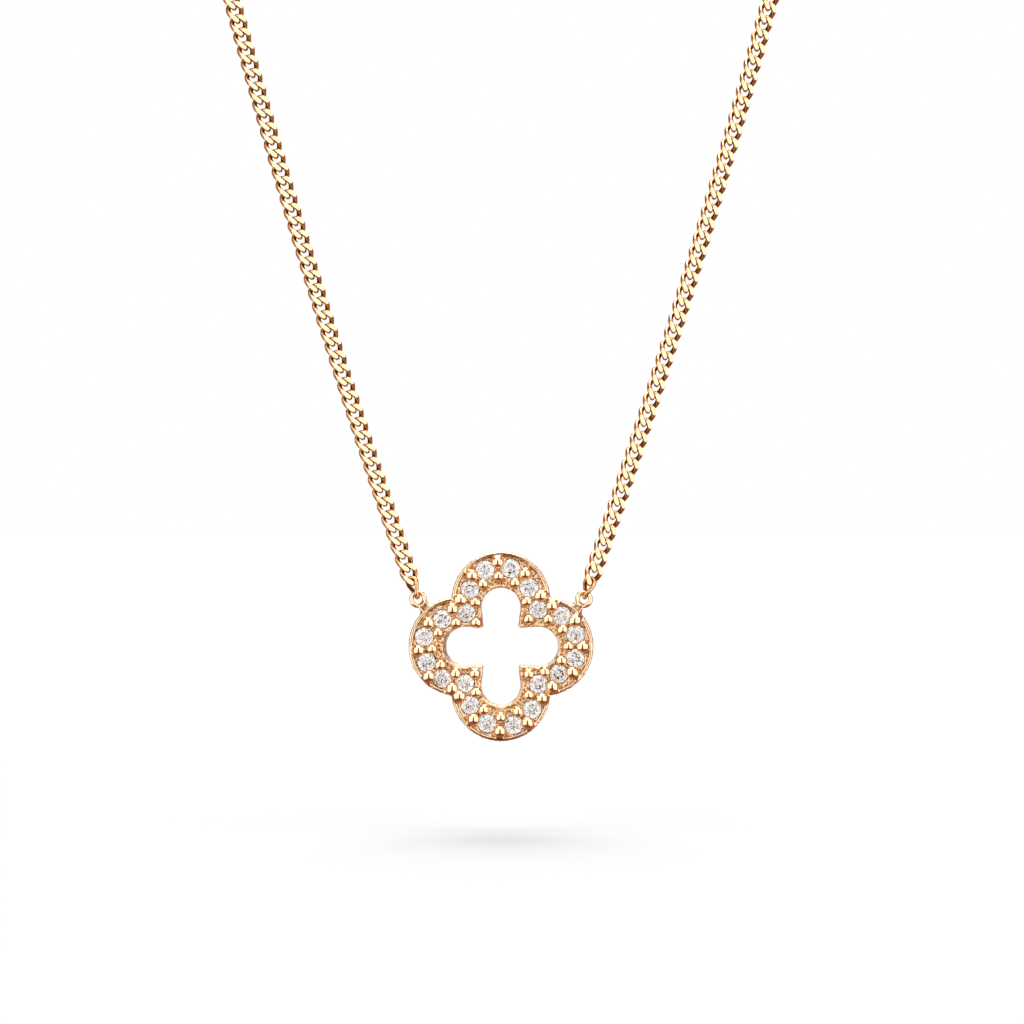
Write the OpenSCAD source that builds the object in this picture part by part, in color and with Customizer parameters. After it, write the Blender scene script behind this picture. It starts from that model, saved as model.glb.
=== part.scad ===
/*
Four leaf clover pendant on a fine curb chain, worn round a neck.
X is to the wearer's left as seen from the front, -Y faces the viewer, Z is up, and the origin is the
middle of the chain at the nape. The clover hangs below it and in front of it, from two ears.
*/

/* [Clover] */
// Radius of the round edge of each leaf
leaf_r = 2.62; // [2.55:0.01:2.7]
// Distance from the clover's centre to the centres of the two side leaves
leaf_side = 2.31; // [2.25:0.01:2.4]
// Distance from the clover's centre to the centres of the upper and lower leaves
leaf_tall = 2.44; // [2.35:0.01:2.5]
// Thickness of the plate from its back to the sunken field
plate_t = 1; // [0.9:0.05:1.2]
// Width of the raised rim along the outer edge
rim_w = 0.16; // [0.12:0.01:0.18]
// Height of the raised rim over the field
rim_h = 0.15; // [0.05:0.01:0.2]
// Width of the low lip round the opening
lip_w = 0.12; // [0.08:0.01:0.14]
// Height of the lip round the opening over the field
lip_h = 0.05; // [0.03:0.01:0.1]

/* [Opening] */
// Radius of the round end of each lobe of the opening
lobe_r = 1.1; // [1.02:0.01:1.15]
// Distance from the clover's centre to the round ends' centres at the sides
lobe_side = 2.03; // [1.95:0.01:2.08]
// Distance from the clover's centre to the round ends' centres above and below
lobe_tall = 2.1; // [2:0.01:2.15]
// Distance of each pointed cusp from the clover's middle line, sideways
cusp_side = 0.98; // [0.94:0.01:1.02]
// Distance of each pointed cusp from the clover's centre, up and down
cusp_tall = 1.04; // [0.98:0.01:1.06]

/* [Stones] */
// Diameter of each brilliant cut stone
stone_d = 1; // [0.94:0.01:1.02]
// Radius of the arc that a leaf's four stones follow, about the leaf's centre
stone_arc = 1.78; // [1.74:0.01:1.8]
// Distance from the clover's centre to the stones between two leaves
corner_reach = 2.77; // [2.72:0.01:2.82]
// How far the stones' girdles lie below the field
girdle_sink = 0.08; // [0.05:0.01:0.1]
// Clearance between a stone and its seat
seat_gap = 0.03; // [0.02:0.005:0.04]
// Diameter of the open hole below each stone
azure_d = 0.4; // [0.3:0.02:0.44]

/* [Beads] */
// Radius of the round beads along the outer edge
bead_r = 0.34; // [0.32:0.005:0.35]
// Radius of the smaller beads along the opening
bead_in_r = 0.29; // [0.27:0.005:0.3]
// Height of a bead's centre over the field
bead_lift = 0.16; // [0.13:0.01:0.18]
// Diameter of the neck that joins a bead to the plate
bead_neck_d = 0.4; // [0.3:0.01:0.44]
// Least distance from a bead's middle to the line through the two stones beside it
bead_off = 0.37; // [0.35:0.01:0.4]
// Clearance between a bead and the stones beside it
bead_gap = 0.02; // [0.01:0.005:0.03]

/* [Ears] */
// Distance from the clover's middle line to each ear's centre
ear_side = 4.46; // [4.4:0.01:4.55]
// Height of the ears' centres over the clover's centre
ear_up = 2.53; // [2.45:0.01:2.6]
// Diameter of the hole in each ear
ear_hole_d = 0.49; // [0.47:0.01:0.53]
// Thickness of each ear's wire
ear_wire = 0.21; // [0.19:0.005:0.22]
// Distance from the plate's back to the middle of the ears
ear_depth = 0.55; // [0.5:0.01:0.6]
// Width of the lug between an ear and its leaf
lug_w = 0.5; // [0.4:0.02:0.56]
// Thickness of that lug
lug_t = 0.34; // [0.26:0.02:0.4]
// Radius of the fillets where the lug meets the leaf
lug_fillet = 0.18; // [0.12:0.02:0.26]
// Radius of the wider fillets behind the lug
foot_fillet = 0.36; // [0.28:0.02:0.5]
// Thickness of the foot that carries those wider fillets
foot_t = 0.24; // [0.16:0.02:0.3]

/* [Chain] */
// Length of the whole necklace, measured once round through clasp and clover
chain_len = 450; // [430:5:480]
// Width of the curb chain
chain_w = 0.87; // [0.84:0.01:0.9]
// Thickness of the curb chain
chain_t = 0.4; // [0.36:0.02:0.46]
// Length of one link over its outside
link_len = 1.23; // [1.2:0.01:1.28]
// Thickness of the link's wire
link_wire = 0.22; // [0.21:0.005:0.23]
// Clearance between a link and what it passes through
link_gap = 0.04; // [0.03:0.005:0.05]
// Clearance between the run of chain and the links at its ends
run_gap = 0.15; // [0.11:0.01:0.2]

/* [Loop] */
// Lean of each strand from the upright where it leaves the clover, in degrees
lean = 19.5; // [18:0.5:21]
// Slackness of the hanging strands: the catenary's own length
slack = 40; // [38:0.5:42]
// Distance of a strand from the middle where it starts to turn back
strand_half = 32; // [30:0.5:33]
// Radius of the turn back over the shoulders
shoulder_r = 25; // [22:0.5:28]
// Rise of the chain from the shoulders to the nape, in degrees
nape_rise = 25; // [20:0.5:30]

/* [Clasp] */
// Outer diameter of the round clasp
clasp_d = 5.5; // [5:0.1:6]
// Thickness of the clasp's tube
clasp_wire = 1.1; // [0.9:0.05:1.2]
// Radius of the clasp's small lug ring, to the middle of its wire
clasp_lug_r = 0.5; // [0.48:0.01:0.6]
// Thickness of the lug ring's wire
clasp_lug_wire = 0.34; // [0.3:0.01:0.36]
// Thickness of the plain ring that closes into the clasp
ring_wire = 0.32; // [0.3:0.01:0.34]
// Clearance of that plain ring round the clasp's tube
ring_gap = 0.1; // [0.06:0.01:0.14]

/* [Hidden] */
$fn = 48;
eps = 0.05;
GOLD = [0.93, 0.68, 0.5];
STONE = [0.93, 0.94, 0.96];

// Proportions of the brilliant cut, as shares of the stone's diameter
table_share = 0.57;
crown_share = 0.16;
girdle_share = 0.03;
pavilion_share = 0.43;
lower_half_share = 0.11;
// Each stone is turned about its own axis by this much more than the one before
stone_turn = 17;

// Where each stone sits: one row a leaf, from the upper leaf clockwise. The first column of a pair is
// the bearing from the leaf's own axis in degrees, the second the share of stone_arc.
LEAF_STONES = [
    [[-70, 1.00], [-27, 1.05], [17, 1.03], [65, 0.94]],
    [[-60, 1.07], [-21, 1.02], [21, 1.01], [62, 0.94]],
    [[-61, 1.07], [-21, 1.07], [24, 1.04], [67, 1.01]],
    [[-64, 1.07], [-27, 1.06], [16, 1.06], [60, 0.95]],
];
// The stone that follows each leaf: its bearing from the diagonal, and its share of corner_reach
CORNER_STONES = [[0, 1.02], [0, 1.03], [-1, 1.00], [-1, 0.94]];

stone_r = stone_d / 2;
girdle_half = stone_d * girdle_share / 2;
girdle_z = plate_t - girdle_sink;
bead_z = plate_t + bead_lift;
// A bead clears the upper edge of a stone's girdle, and its neck clears the girdle's side
bead_rise = bead_z - girdle_z - girdle_half;
bead_side = sqrt(pow(bead_r + bead_gap, 2) - bead_rise * bead_rise);
bead_reach = stone_r + max(bead_side, bead_neck_d / 2 + bead_gap);

ear_r = (ear_hole_d + ear_wire) / 2;
link_r = (chain_w - link_wire) / 2;
link_bar = link_len - link_wire - 2 * link_r;

// The point of each ear's wire where the chain pulls: the chain's length is measured from there
hang_x = ear_side + ear_r * sin(lean);
hang_z = ear_up + ear_r * cos(lean);
side_len = chain_len / 2 - hang_x;
ear_hook = (ear_wire + link_wire) / 2 + link_gap;
run_start = link_len - link_wire / 2 - ear_hook + run_gap;

// The clasp's parts, measured along the chain from the nape's middle
clasp_r = (clasp_d - clasp_wire) / 2;
lug_mid = clasp_d / 2 + clasp_lug_r;
ring_r = (clasp_wire + ring_gap + link_wire + 2 * link_gap + ring_wire) / 2;
ring_mid = clasp_r - clasp_wire / 2 - ring_gap - ring_wire / 2 + ring_r;
left_hook = lug_mid + clasp_lug_r;
right_hook = ring_mid + ring_r;
left_back = left_hook - clasp_lug_wire / 2 - link_gap - link_wire / 2;
right_back = right_hook - ring_wire / 2 - link_gap - link_wire / 2;
back_reach = link_len - link_wire / 2 + run_gap;
nape_half = max(left_back, right_back) + back_reach + run_gap;

function unit(v) = v / norm(v);
function turned(v, k, a) = v * cos(a) + cross(k, v) * sin(a) + k * (k * v) * (1 - cos(a));
function asinh(v) = ln(v + sqrt(v * v + 1));
function sinh(v) = (exp(v) - exp(-v)) / 2;
function eased(t) = t * t * (3 - 2 * t);

// The right-hand strand's route from the ear to the nape, in the clover's own frame: it hangs in a
// catenary, turns back over the shoulder, runs straight, turns round the neck and ends along X.
v_start = 1 / tan(lean);
v_end = sinh(asinh(v_start) + (strand_half - hang_x) / slack);
hang_len = slack * (v_end - v_start);
hang_end = [strand_half, 0, hang_z + slack * (sqrt(1 + v_end * v_end) - sqrt(1 + v_start * v_start))];
up_dir = unit([1, 0, v_end]);
back_dir = [0, cos(nape_rise), sin(nape_rise)];
shoulder_turn = acos(up_dir * back_dir);
shoulder_axis = unit(cross(up_dir, back_dir));
shoulder_in = cross(shoulder_axis, up_dir);
shoulder_len = shoulder_r * shoulder_turn * PI / 180;
shoulder_end = hang_end + shoulder_r * (sin(shoulder_turn) * up_dir + (1 - cos(shoulder_turn)) * shoulder_in);
neck_r = shoulder_end[0] - nape_half;
neck_len = neck_r * PI / 2;
straight_len = side_len - hang_len - shoulder_len - neck_len - nape_half;
straight_end = shoulder_end + straight_len * back_dir;
nape = straight_end + [-neck_r - nape_half, 0, 0] + neck_r * back_dir;

// The chain's flat face looks to the front where it hangs and away from the neck at the nape
front = [0, -1, 0];
shoulder_face = turned(front, shoulder_axis, shoulder_turn);
face_turn = atan2(cross(shoulder_face, [1, 0, 0]) * back_dir, shoulder_face * [1, 0, 0]);

// Each of these gives [point, direction, face] at a length along its own stretch
function on_hang(s) =
    let (v = v_start + s / slack)
    [
        [
            hang_x + slack * (asinh(v) - asinh(v_start)),
            0,
            hang_z + slack * (sqrt(1 + v * v) - sqrt(1 + v_start * v_start)),
        ],
        unit([1, 0, v]),
        front,
    ];
function on_shoulder(s) =
    let (a = s / shoulder_r * 180 / PI)
    [
        hang_end + shoulder_r * (sin(a) * up_dir + (1 - cos(a)) * shoulder_in),
        turned(up_dir, shoulder_axis, a),
        turned(front, shoulder_axis, a),
    ];
function on_straight(s) =
    [
        shoulder_end + s * back_dir,
        back_dir,
        turned(shoulder_face, back_dir, face_turn * eased(s / straight_len)),
    ];
function on_neck(s) =
    let (a = s / neck_r * 180 / PI)
    [
        straight_end + neck_r * (sin(a) * back_dir - (1 - cos(a)) * [1, 0, 0]),
        cos(a) * back_dir - sin(a) * [1, 0, 0],
        cos(a) * [1, 0, 0] + sin(a) * back_dir,
    ];
function on_nape(s) = [nape + [side_len - s, 0, 0], [-1, 0, 0], back_dir];

// Rings of the run of chain: more of them where it bends than where it hangs nearly straight
hang_rings = 11;
shoulder_rings = 10;
straight_rings = 4;
neck_rings = 12;

function run_rings(run_end) = concat(
    [for (i = [0 : hang_rings]) on_hang(run_start + (hang_len - run_start) * i / hang_rings)],
    [for (i = [1 : shoulder_rings]) on_shoulder(shoulder_len * i / shoulder_rings)],
    [for (i = [1 : straight_rings]) on_straight(straight_len * i / straight_rings)],
    [for (i = [1 : neck_rings]) on_neck(neck_len * i / neck_rings)],
    [on_nape(side_len - run_end)]
);

// The clover's plan
leaf_at = [[0, leaf_tall], [leaf_side, 0], [0, -leaf_tall], [-leaf_side, 0]];

module clover_plan(grow = 0) {
    for (p = leaf_at) {
        translate(p) circle(leaf_r + grow);
    }
}

// The point where the line from p touches a circle on its right-hand side
function touch(p, centre, r) =
    let (
        d = centre - p,
        away = norm(d),
        a = -asin(r / away),
        reach = sqrt(away * away - r * r) / away
    )
    p + reach * [d[0] * cos(a) - d[1] * sin(a), d[0] * sin(a) + d[1] * cos(a)];

// One lobe of the opening, upwards from the centre past two cusps to its round end
module lobe_plan(out, cusp, grow) {
    side = touch(cusp + [grow, grow], [0, out], lobe_r + grow);
    translate([0, out]) circle(lobe_r + grow);
    polygon([
        [0, 0], cusp + [grow, grow], side, [0, out], [-side[0], side[1]], [-cusp[0] - grow, cusp[1] + grow],
    ]);
}

module opening_plan(grow = 0) {
    for (turn = [0, 180]) {
        rotate(turn) lobe_plan(lobe_tall, [cusp_side, cusp_tall], grow);
        rotate(turn + 90) lobe_plan(lobe_side, [cusp_tall, cusp_side], grow);
    }
}

// Stones in clockwise order round the clover: four on each leaf, then the one at its corner
function bearing(a, d) = [d * sin(a), d * cos(a)];
stone_at = [
    for (leaf = [0 : 3]) each concat(
        [for (s = LEAF_STONES[leaf]) leaf_at[leaf] + bearing(90 * leaf + s[0], stone_arc * s[1])],
        [bearing(90 * leaf + 45 + CORNER_STONES[leaf][0], corner_reach * CORNER_STONES[leaf][1])]
    )
];
stone_count = len(stone_at);

// Beads: one on either side of each gap between two stones, and one at each cusp
function gap_bead(i, way) =
    let (
        p = stone_at[i],
        q = stone_at[(i + 1) % stone_count],
        half = norm(q - p) / 2,
        off = max(bead_off, sqrt(max(0, bead_reach * bead_reach - half * half)))
    )
    (p + q) / 2 + way * off * [-(q - p)[1], (q - p)[0]] / (2 * half);
outer_beads = [for (i = [0 : stone_count - 1]) gap_bead(i, 1)];
inner_beads = [
    for (i = [0 : stone_count - 1]) gap_bead(i, -1),
    for (i = [4 : 5 : stone_count - 1]) stone_at[i] - bead_reach * unit(stone_at[i]),
];

module bead(r) {
    translate([0, 0, bead_z]) sphere(r);
    translate([0, 0, plate_t / 2]) cylinder(d = bead_neck_d, h = bead_z - plate_t / 2);
}

// Everything that the stone's body needs, cut down from the field, with an open hole below
module seat() {
    slope = 2 * pavilion_share;
    seat_r = stone_r + seat_gap;
    shoulder_z = girdle_z - girdle_half + seat_gap * (slope - sqrt(1 + slope * slope));
    cone_h = slope * (seat_r - azure_d / 2);
    translate([0, 0, shoulder_z]) cylinder(r = seat_r, h = plate_t - shoulder_z + eps);
    translate([0, 0, shoulder_z - cone_h]) cylinder(d1 = azure_d, r2 = seat_r, h = cone_h);
    translate([0, 0, -eps]) cylinder(d = azure_d, h = shoulder_z - cone_h + 2 * eps);
}

// The lug runs from the leaf's edge out to the ear: X is along it here
lug_reach = norm([ear_side, ear_up] - leaf_at[1]);
lug_angle = atan2(ear_up, ear_side - leaf_side);

module lug_plan(fillet) {
    bite = leaf_r - rim_w;
    out = lug_w / 2 + fillet;
    along = sqrt(pow(leaf_r + fillet, 2) - out * out);
    start = out * bite / along;
    translate([bite, -lug_w / 2]) square([lug_reach - bite, lug_w]);
    difference() {
        polygon([[bite, -start], [along, -out], [along, out], [bite, start]]);
        for (side = [-1, 1]) {
            translate([along, side * out]) circle(fillet);
        }
    }
}

module ear() {
    difference() {
        union() {
            translate([0, 0, ear_depth - lug_t / 2]) linear_extrude(lug_t) lug_plan(lug_fillet);
            translate([0, 0, ear_depth - lug_t / 2 - foot_t]) {
                linear_extrude(foot_t + lug_t / 2) intersection() {
                    lug_plan(foot_fillet);
                    circle(lug_reach - ear_r);
                }
            }
        }
        translate([lug_reach, 0, -eps]) cylinder(d = ear_hole_d + ear_wire, h = plate_t + 2 * eps);
    }
    translate([lug_reach, 0, ear_depth]) rotate_extrude() translate([ear_r, 0]) circle(d = ear_wire);
}

// The cast clover lying on its back, with its face up
module clover_flat() {
    difference() {
        union() {
            linear_extrude(plate_t) clover_plan();
            linear_extrude(plate_t + rim_h) difference() {
                clover_plan();
                clover_plan(-rim_w);
            }
            linear_extrude(plate_t + lip_h) opening_plan(lip_w);
        }
        translate([0, 0, -eps]) linear_extrude(plate_t + rim_h + 2 * eps) opening_plan();
        for (p = stone_at) {
            translate(p) seat();
        }
    }
    for (p = outer_beads) {
        translate(p) bead(bead_r);
    }
    for (p = inner_beads) {
        translate(p) bead(bead_in_r);
    }
    for (side = [0, 1]) {
        mirror([side, 0, 0]) translate(leaf_at[1]) rotate(lug_angle) ear();
    }
}

// Stands the flat clover up with its face to the front and its ears' middle plane at Y = 0
module hung() {
    translate([0, ear_depth, 0] - nape) rotate([90, 0, 0]) children();
}

module clover_setting() {
    color(GOLD) hung() clover_flat();
}

// One ring of the cut stone: n points at radius r and height z, the first at angle a
function cut_ring(n, r, z, a = 0) = [
    for (i = [0 : n - 1]) [r * cos(a + 360 * i / n), r * sin(a + 360 * i / n), z]
];

// A round brilliant with its girdle's middle at z = 0 and its table up
module brilliant(d) {
    r = d / 2;
    girdle = d * girdle_share / 2;
    top = girdle + d * crown_share;
    tip = -girdle - d * pavilion_share;
    table_r = r * table_share;
    in = cos(22.5);
    star_r = (table_r * in + r) / 2;
    star_z = girdle + (r - star_r * in) * (top - girdle) / (r - table_r);
    half_r = r * 2 * lower_half_share;
    half_z = tip + (-girdle - tip) * half_r * in / r;
    points = concat(
        cut_ring(8, table_r, top),
        cut_ring(8, star_r, star_z, 22.5),
        cut_ring(16, r, girdle),
        cut_ring(16, r, -girdle),
        cut_ring(8, half_r, half_z, 22.5),
        [[0, 0, tip]]
    );
    table0 = 0;
    star0 = 8;
    upper0 = 16;
    lower0 = 32;
    half0 = 48;
    culet = 56;
    faces = concat(
        [[for (i = [7 : -1 : 0]) table0 + i]],
        [for (i = [0 : 7]) let (j = (i + 1) % 8, h = (i + 7) % 8) each [
            [table0 + i, table0 + j, star0 + i],
            [table0 + i, star0 + i, upper0 + 2 * i, star0 + h],
            [star0 + i, upper0 + 2 * i + 1, upper0 + 2 * i],
            [star0 + i, upper0 + 2 * j, upper0 + 2 * i + 1],
            [half0 + i, lower0 + 2 * i, lower0 + 2 * i + 1],
            [half0 + i, lower0 + 2 * i + 1, lower0 + 2 * j],
            [culet, half0 + h, lower0 + 2 * i, half0 + i],
        ]],
        [for (i = [0 : 15]) let (j = (i + 1) % 16) [upper0 + i, upper0 + j, lower0 + j, lower0 + i]]
    );
    polyhedron(points, faces);
}

module stone(i) {
    at = stone_at[i];
    color(STONE) hung() translate([at[0], at[1], girdle_z]) rotate(stone_turn * i) brilliant(stone_d);
}

// Sets X along a direction and Z along the chain's face there, at a point of the clover's frame
module along(point, dir, face) {
    w = cross(face, dir);
    translate(point - nape) multmatrix([
        [dir[0], w[0], face[0], 0],
        [dir[1], w[1], face[1], 0],
        [dir[2], w[2], face[2], 0],
    ]) children();
}

// One oval link lying flat, with the middle of its first bend's wire at X = 0
module oval_link() {
    for (end = [0, 1]) {
        translate([link_r + link_bar * end, 0, 0]) rotate(end * 180 + 90)
            rotate_extrude(angle = 180) translate([link_r, 0]) circle(d = link_wire);
    }
    for (side = [-1, 1]) {
        translate([link_r, side * link_r, 0]) rotate([0, 90, 0]) cylinder(d = link_wire, h = link_bar);
    }
}

// The right-hand side's pieces; the left-hand ones are their mirror images
module end_link() {
    at = on_hang(0);
    along(at[0] - ear_hook * at[1], at[1], cross(at[1], front)) oval_link();
}

module run(run_end) {
    sides = 8;
    rings = run_rings(run_end);
    count = len(rings);
    points = [
        for (ring = rings) let (w = cross(ring[2], ring[1])) for (k = [0 : sides - 1])
            let (a = 360 * (k + 0.5) / sides)
            ring[0] - nape + w * chain_w / 2 * cos(a) + ring[2] * chain_t / 2 * sin(a)
    ];
    faces = concat(
        [[for (k = [0 : sides - 1]) k]],
        [[for (k = [sides - 1 : -1 : 0]) (count - 1) * sides + k]],
        [for (i = [0 : count - 2]) for (k = [0 : sides - 1]) let (n = (k + 1) % sides) each [
            [i * sides + k, (i + 1) * sides + k, i * sides + n],
            [i * sides + n, (i + 1) * sides + k, (i + 1) * sides + n],
        ]]
    );
    polyhedron(points, faces);
}

module back_link(near, face) {
    along(nape + [near, 0, 0], [1, 0, 0], face) oval_link();
}

module left_side() {
    mirror([1, 0, 0]) children();
}

// The clasp lies flat on the neck: its rings' axis points away from it
nape_up = cross(back_dir, [1, 0, 0]);

module clasp() {
    color(GOLD) along(nape, [1, 0, 0], back_dir) {
        rotate_extrude() translate([clasp_r, 0]) circle(d = clasp_wire);
        translate([-lug_mid, 0, 0]) rotate_extrude() translate([clasp_lug_r, 0]) circle(d = clasp_lug_wire);
    }
}

module end_ring() {
    color(GOLD) along(nape + [ring_mid, 0, 0], [1, 0, 0], nape_up) {
        rotate_extrude() translate([ring_r, 0]) circle(d = ring_wire);
    }
}

clover_setting();
stone(0);  // stone_01
stone(1);  // stone_02
stone(2);  // stone_03
stone(3);  // stone_04
stone(4);  // stone_05
stone(5);  // stone_06
stone(6);  // stone_07
stone(7);  // stone_08
stone(8);  // stone_09
stone(9);  // stone_10
stone(10);  // stone_11
stone(11);  // stone_12
stone(12);  // stone_13
stone(13);  // stone_14
stone(14);  // stone_15
stone(15);  // stone_16
stone(16);  // stone_17
stone(17);  // stone_18
stone(18);  // stone_19
stone(19);  // stone_20
color(GOLD) left_side() end_link();  // end_link_left
color(GOLD) end_link();  // end_link_right
color(GOLD) left_side() run(left_back + back_reach);  // chain_left
color(GOLD) run(right_back + back_reach);  // chain_right
color(GOLD) left_side() back_link(left_back, nape_up);  // back_link_left
color(GOLD) back_link(right_back, back_dir);  // back_link_right
clasp();
end_ring();
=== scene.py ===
"""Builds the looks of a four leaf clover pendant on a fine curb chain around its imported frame."""

import logging
import math
from dataclasses import dataclass, field
from enum import Enum
from functools import cached_property

import bmesh
import bpy
import numpy as np
from mathutils.kdtree import KDTree
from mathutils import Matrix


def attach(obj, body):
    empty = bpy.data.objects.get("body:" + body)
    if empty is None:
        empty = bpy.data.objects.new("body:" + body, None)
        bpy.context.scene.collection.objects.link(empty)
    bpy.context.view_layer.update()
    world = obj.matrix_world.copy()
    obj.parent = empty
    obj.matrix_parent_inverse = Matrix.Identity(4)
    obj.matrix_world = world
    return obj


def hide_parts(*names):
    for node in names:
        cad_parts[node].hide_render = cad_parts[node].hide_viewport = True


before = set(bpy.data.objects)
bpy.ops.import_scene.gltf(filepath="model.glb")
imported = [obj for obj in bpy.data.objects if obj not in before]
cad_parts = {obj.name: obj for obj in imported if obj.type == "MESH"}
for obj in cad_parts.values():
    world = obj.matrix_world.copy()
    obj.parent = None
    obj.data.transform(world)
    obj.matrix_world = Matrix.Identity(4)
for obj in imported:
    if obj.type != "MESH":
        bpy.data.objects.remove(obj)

MM = 0.001
QUARTER = 90.0
RIGHTWARDS = np.array([1.0, 0.0, 0.0])
FRONT = np.array([0.0, -1.0, 0.0])
WHITE = (1.0, 1.0, 1.0)
log = logging.getLogger("clover")

Colour = tuple[float, float, float]
Pair = tuple[float, float]
Faces = list[tuple[int, ...]]
ThreeRows = tuple[np.ndarray, np.ndarray, np.ndarray]
Socket = bpy.types.NodeSocket


class Side(Enum):
    """The side of the necklace as the viewer sees it."""

    RIGHT = 1.0
    LEFT = -1.0


class Slot(Enum):
    """The record's material slots."""

    CLOVER = "clover_gold"
    CHAIN = "chain_gold"
    CLASP = "clasp_gold"
    STONE = "stone"


def unit(v: np.ndarray) -> np.ndarray:
    """Return v at length one."""
    return v / np.linalg.norm(v)


def unit_rows(rows: np.ndarray) -> np.ndarray:
    """Return rows of coordinates, each at length one."""
    return rows / np.linalg.norm(rows, axis=1)[:, None]


def held(values: np.ndarray) -> np.ndarray:
    """Return values held between 0 and 1."""
    return np.clip(values, 0.0, 1.0)


def turned(v: np.ndarray, axis: np.ndarray, angle: float) -> np.ndarray:
    """Return v, turned about an axis of length one by an angle in radians."""
    c, s = math.cos(angle), math.sin(angle)
    return v * c + np.cross(axis, v) * s + axis * float(axis @ v) * (1 - c)


def eased(share: float | np.ndarray) -> float | np.ndarray:
    """Return a share from 0 to 1 with a soft start and a soft end."""
    return share * share * (3 - 2 * share)


def rows_of(source: bpy.types.bpy_prop_collection, label: str = "co") -> np.ndarray:
    """Read a property of three numbers from every point of a mesh.

    Args:
        source: the mesh's points or normals.
        label: the property.

    Returns:
        One row a point.
    """
    rows = np.empty(len(source) * 3)
    source.foreach_get(label, rows)
    return rows.reshape(-1, 3)


def move_points(mesh: bpy.types.Mesh, points: np.ndarray) -> None:
    """Put a mesh's points in new places, one row each."""
    mesh.vertices.foreach_set("co", points.astype(np.float32).ravel())


def set_attribute(mesh: bpy.types.Mesh, label: str, domain: str, values: list[float] | np.ndarray) -> None:
    """Give a mesh a number at each point, face or face corner."""
    layer = mesh.attributes.new(label, "FLOAT", domain)
    layer.data.foreach_set("value", np.asarray(values, np.float32))


def tree_of(points: np.ndarray) -> KDTree:
    """Sort points for a search of the nearest one.

    Args:
        points: rows of three coordinates.

    Returns:
        The search tree.
    """
    tree = KDTree(len(points))
    for i, point in enumerate(points.tolist()):
        tree.insert(point, i)
    tree.balance()
    return tree


def new_object(name: str, data: bpy.types.ID) -> bpy.types.Object:
    """Place a new object in the scene.

    Args:
        name: its name.
        data: its mesh or camera.

    Returns:
        The object.
    """
    item = bpy.data.objects.new(name, data)
    bpy.context.scene.collection.objects.link(item)
    return item


@dataclass(frozen=True)
class Grain:
    """Even random bumps in space, the same on each run."""

    seed: int
    size: float
    table_size: int = 4096
    primes: tuple[int, int, int] = (73856093, 19349663, 83492791)
    fold: int = 7

    def at(self, points: np.ndarray) -> np.ndarray:
        """Read the bumps.

        Args:
            points: rows of three coordinates.

        Returns:
            A number from -1 to 1 for each point.
        """
        table = np.random.default_rng(self.seed).uniform(-1.0, 1.0, self.table_size)
        place = points / self.size
        corner = np.floor(place).astype(np.int64)
        share = eased(place - corner)
        total = np.zeros(len(points))
        for step in np.ndindex(2, 2, 2):
            key = (corner + step) @ np.array(self.primes)
            weight = np.prod(np.where(np.array(step) == 1, share, 1 - share), axis=1)
            total += weight * table[(key ^ (key >> self.fold)) % self.table_size]
        return total


@dataclass
class Shell:
    """A mesh as plain arrays: points in millimetres and faces as rows of point numbers."""

    points: np.ndarray
    faces: Faces

    @staticmethod
    def joined(shells: list["Shell"]) -> "Shell":
        """Join several shells into one.

        Args:
            shells: the shells, in order.

        Returns:
            One shell that holds them all.
        """
        points, faces, base = [], [], 0
        for shell in shells:
            points.append(shell.points)
            faces += [tuple(base + i for i in face) for face in shell.faces]
            base += len(shell.points)
        return Shell(np.concatenate(points), faces)

    def mesh(self, name: str, unit_size: float = MM) -> bpy.types.Mesh:
        """Make a smooth mesh of the shell.

        Args:
            name: the mesh's name.
            unit_size: what one millimetre becomes.

        Returns:
            The mesh.
        """
        mesh = bpy.data.meshes.new(name)
        mesh.from_pydata((self.points * unit_size).tolist(), [], self.faces)
        mesh.shade_smooth()
        return mesh


def ring_shell(
    centre: np.ndarray, axis: np.ndarray, radius: float, wire: float, steps: tuple[int, int]
) -> Shell:
    """Make a round ring of round wire.

    Args:
        centre: the ring's middle.
        axis: the direction through its hole.
        radius: from the middle to the wire's own middle.
        wire: the wire's thickness.
        steps: how many along the ring, and how many round the wire.

    Returns:
        The closed shell.
    """
    around, sides = steps
    axis = unit(axis)
    slanted = [0.3, 0.5, 0.8]
    first = unit(np.cross(axis, slanted))
    second = np.cross(axis, first)
    a = np.linspace(0, 2 * math.pi, around, endpoint=False)[:, None, None]
    b = np.linspace(0, 2 * math.pi, sides, endpoint=False)[None, :, None]
    out = np.cos(a) * first + np.sin(a) * second
    points = centre + out * (radius + wire / 2 * np.cos(b)) + axis * (wire / 2 * np.sin(b))
    return Shell(points.reshape(-1, 3), closed_faces(around, sides))


def ball_shell(centre: np.ndarray, radius: float, around: int) -> Shell:
    """Make a ball from an even grid of rings.

    Args:
        centre: the ball's middle.
        radius: its radius.
        around: steps round its equator.

    Returns:
        The closed shell.
    """
    rows = around // 2
    rise = np.linspace(-math.pi / 2, math.pi / 2, rows + 1)[1:-1, None]
    turn = np.linspace(0, 2 * math.pi, around, endpoint=False)[None, :]
    grid = np.stack(
        [np.cos(rise) * np.cos(turn), np.cos(rise) * np.sin(turn), np.sin(rise) + 0 * turn], axis=-1
    ).reshape(-1, 3)
    points = np.concatenate([grid, [[0, 0, -1], [0, 0, 1]]]) * radius + centre
    faces: Faces = []
    low, high = len(grid), len(grid) + 1
    for j in range(around):
        k = (j + 1) % around
        faces.append((low, k, j))
        faces.append((high, (rows - 2) * around + j, (rows - 2) * around + k))
        for i in range(rows - 2):
            faces.append((i * around + j, i * around + k, (i + 1) * around + k, (i + 1) * around + j))
    return Shell(points, faces)


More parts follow.
